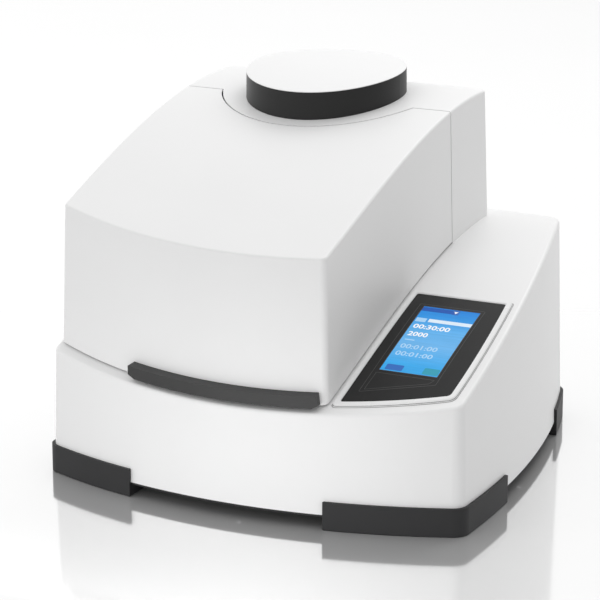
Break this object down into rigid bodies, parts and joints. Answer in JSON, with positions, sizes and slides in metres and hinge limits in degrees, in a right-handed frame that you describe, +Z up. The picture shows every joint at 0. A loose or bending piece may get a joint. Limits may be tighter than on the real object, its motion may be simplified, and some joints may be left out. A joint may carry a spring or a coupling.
{
  "type": "high energy ball mill",
  "caption": "Bench ball mill with a curved base and sloping console, a hood that swings up over two eccentric jar brackets, and a rear tower with a round cap.",
  "frame": {"origin": "on the table, under the centre of the outer box", "axes": "+X to the operator's right, -Y to the operator, +Z up"},
  "size_m": [0.625, 0.645, 0.5182],
  "materials": {
    "white_shell": "satin",
    "dark_trim": "matte",
    "foot_plastic": "matte",
    "zinc_sheet": "satin",
    "steel": "brushed",
    "bright_steel": "polished",
    "aluminium": "satin",
    "cast_iron": "rough",
    "rubber": "matte",
    "black_glass": "gloss",
    "display": "emissive",
    "black_plastic": "satin",
    "tank_plastic": "satin"
  },
  "bodies": {
    "base": {"base_housing": "white_shell", "base_pan": "zinc_sheet", "bearing_housings": "cast_iron", "bearing_screws": "bright_steel", "cap_band": "dark_trim", "cap_top": "white_shell", "chamber_gasket": "rubber", "chamber_liner": "steel", "coolant_hoses": "rubber", "coolant_pump": "black_plastic", "coolant_tank": "tank_plastic", "corner_feet": "foot_plastic", "crank_bearings": "bright_steel", "display_module": "black_plastic", "display_window": "display", "drive_belts": "rubber", "drive_controller": "zinc_sheet", "drive_mounts": "rubber", "drive_plate": "steel", "fan_shroud": "black_plastic", "hinge_brackets": "steel", "hose_couplings": "bright_steel", "latch_housing": "zinc_sheet", "mains_inlet": "black_plastic", "motor_bracket": "zinc_sheet", "motor_housing": "aluminium", "panel_bezel": "white_shell", "panel_glass": "black_glass", "power_supply": "zinc_sheet", "radiator": "aluminium", "rear_grille": "dark_trim", "rear_panel": "zinc_sheet", "shaft_seals": "rubber", "tower_bulkhead": "aluminium", "tower_housing": "white_shell"},
    "hood": {"hood_shell": "white_shell", "hood_frame": "zinc_sheet", "hood_grip": "dark_trim", "hinge_arms": "steel", "latch_striker": "steel"},
    "crank_left_front": {"crank_left_front": "steel"},
    "crank_left_rear": {"crank_left_rear": "steel"},
    "crank_right_front": {"crank_right_front": "steel"},
    "crank_right_rear": {"crank_right_rear": "steel"},
    "motor_rotor": {"motor_rotor": "steel"},
    "fan_wheel": {"fan_wheel": "black_plastic"},
    "latch_bolt": {"latch_bolt": "bright_steel"},
    "rocker_switch": {"rocker_switch": "black_plastic"},
    "jar_bracket_left": {"jar_bracket_left": "aluminium"},
    "jar_bracket_right": {"jar_bracket_right": "aluminium"},
    "jar_left": {"jar_left": "steel"},
    "jar_right": {"jar_right": "steel"},
    "jar_lid_left": {"jar_lid_left": "steel"},
    "jar_lid_right": {"jar_lid_right": "steel"},
    "clamp_bar_left": {"clamp_bar_left": "steel"},
    "clamp_bar_right": {"clamp_bar_right": "steel"},
    "star_knob_left_front": {"star_knob_left_front": "black_plastic"},
    "star_knob_left_rear": {"star_knob_left_rear": "black_plastic"},
    "star_knob_right_front": {"star_knob_right_front": "black_plastic"},
    "star_knob_right_rear": {"star_knob_right_rear": "black_plastic"}
  },
  "joints": [
    {"name": "hood_hinge", "type": "hinge", "parent": "base", "child": "hood", "pos_m": [-0.0855, 0.232, 0.46], "axis": [-1, 0, 0], "range_deg": [0, 65]},
    {"name": "crank_left_front_spin", "type": "hinge", "parent": "base", "child": "crank_left_front", "pos_m": [-0.175, -0.176, 0.155], "axis": [0, 0, 1], "continuous": true},
    {"name": "crank_left_rear_spin", "type": "hinge", "parent": "base", "child": "crank_left_rear", "pos_m": [-0.175, -0.06, 0.155], "axis": [0, 0, 1], "continuous": true},
    {"name": "crank_right_front_spin", "type": "hinge", "parent": "base", "child": "crank_right_front", "pos_m": [0.006, -0.176, 0.155], "axis": [0, 0, 1], "continuous": true},
    {"name": "crank_right_rear_spin", "type": "hinge", "parent": "base", "child": "crank_right_rear", "pos_m": [0.006, -0.06, 0.155], "axis": [0, 0, 1], "continuous": true},
    {"name": "motor_spin", "type": "hinge", "parent": "base", "child": "motor_rotor", "pos_m": [0.215, -0.118, 0.1], "axis": [0, 0, 1], "continuous": true},
    {"name": "jar_bracket_left_pin", "type": "hinge", "parent": "crank_left_front", "child": "jar_bracket_left", "pos_m": [-0.192, -0.176, 0.16], "axis": [0, 0, 1], "continuous": true},
    {"name": "clamp_bar_left_lift", "type": "slide", "parent": "jar_bracket_left", "child": "clamp_bar_left", "axis": [0, 0, 1], "range_m": [0, 0.06]},
    {"name": "jar_left_lift", "type": "slide", "parent": "jar_bracket_left", "child": "jar_left", "axis": [0, 0, 1], "range_m": [0, 0.03]},
    {"name": "jar_lid_left_lift", "type": "slide", "parent": "jar_left", "child": "jar_lid_left", "axis": [0, 0, 1], "range_m": [0, 0.018]},
    {"name": "star_knob_left_front_turn", "type": "hinge", "parent": "clamp_bar_left", "child": "star_knob_left_front", "pos_m": [-0.192, -0.199, 0.29], "axis": [0, 0, 1], "range_deg": [0, 720]},
    {"name": "star_knob_left_rear_turn", "type": "hinge", "parent": "clamp_bar_left", "child": "star_knob_left_rear", "pos_m": [-0.192, -0.037, 0.29], "axis": [0, 0, 1], "range_deg": [0, 720]},
    {"name": "jar_bracket_right_pin", "type": "hinge", "parent": "crank_right_front", "child": "jar_bracket_right", "pos_m": [0.023, -0.176, 0.16], "axis": [0, 0, 1], "continuous": true},
    {"name": "clamp_bar_right_lift", "type": "slide", "parent": "jar_bracket_right", "child": "clamp_bar_right", "axis": [0, 0, 1], "range_m": [0, 0.06]},
    {"name": "jar_right_lift", "type": "slide", "parent": "jar_bracket_right", "child": "jar_right", "axis": [0, 0, 1], "range_m": [0, 0.03]},
    {"name": "jar_lid_right_lift", "type": "slide", "parent": "jar_right", "child": "jar_lid_right", "axis": [0, 0, 1], "range_m": [0, 0.018]},
    {"name": "star_knob_right_front_turn", "type": "hinge", "parent": "clamp_bar_right", "child": "star_knob_right_front", "pos_m": [0.023, -0.199, 0.29], "axis": [0, 0, 1], "range_deg": [0, 720]},
    {"name": "star_knob_right_rear_turn", "type": "hinge", "parent": "clamp_bar_right", "child": "star_knob_right_rear", "pos_m": [0.023, -0.037, 0.29], "axis": [0, 0, 1], "range_deg": [0, 720]},
    {"name": "fan_spin", "type": "hinge", "parent": "base", "child": "fan_wheel", "pos_m": [-0.0845, 0.192, 0.37], "axis": [0, 1, 0], "continuous": true},
    {"name": "latch_bolt_slide", "type": "slide", "parent": "base", "child": "latch_bolt", "axis": [0, 1, 0], "range_m": [0, 0.009], "stiffness_N_per_m": 150},
    {"name": "rocker_switch_rock", "type": "hinge", "parent": "base", "child": "rocker_switch", "pos_m": [0.165, 0.30136, 0.072], "axis": [1, 0, 0], "range_deg": [-7, 7]}
  ],
  "couplings": [
    {"joint": "crank_left_rear_spin", "follows": "crank_left_front_spin", "ratio": 1},
    {"joint": "crank_right_front_spin", "follows": "crank_left_front_spin", "ratio": 1},
    {"joint": "crank_right_rear_spin", "follows": "crank_left_front_spin", "ratio": 1},
    {"joint": "motor_spin", "follows": "crank_left_front_spin", "ratio": 1},
    {"joint": "jar_bracket_left_pin", "follows": "crank_left_front_spin", "ratio": -1},
    {"joint": "jar_left_lift", "follows": "clamp_bar_left_lift", "ratio": 0.5},
    {"joint": "jar_lid_left_lift", "follows": "clamp_bar_left_lift", "ratio": 0.3},
    {"joint": "jar_bracket_right_pin", "follows": "crank_left_front_spin", "ratio": -1},
    {"joint": "jar_right_lift", "follows": "clamp_bar_right_lift", "ratio": 0.5},
    {"joint": "jar_lid_right_lift", "follows": "clamp_bar_right_lift", "ratio": 0.3}
  ]
}
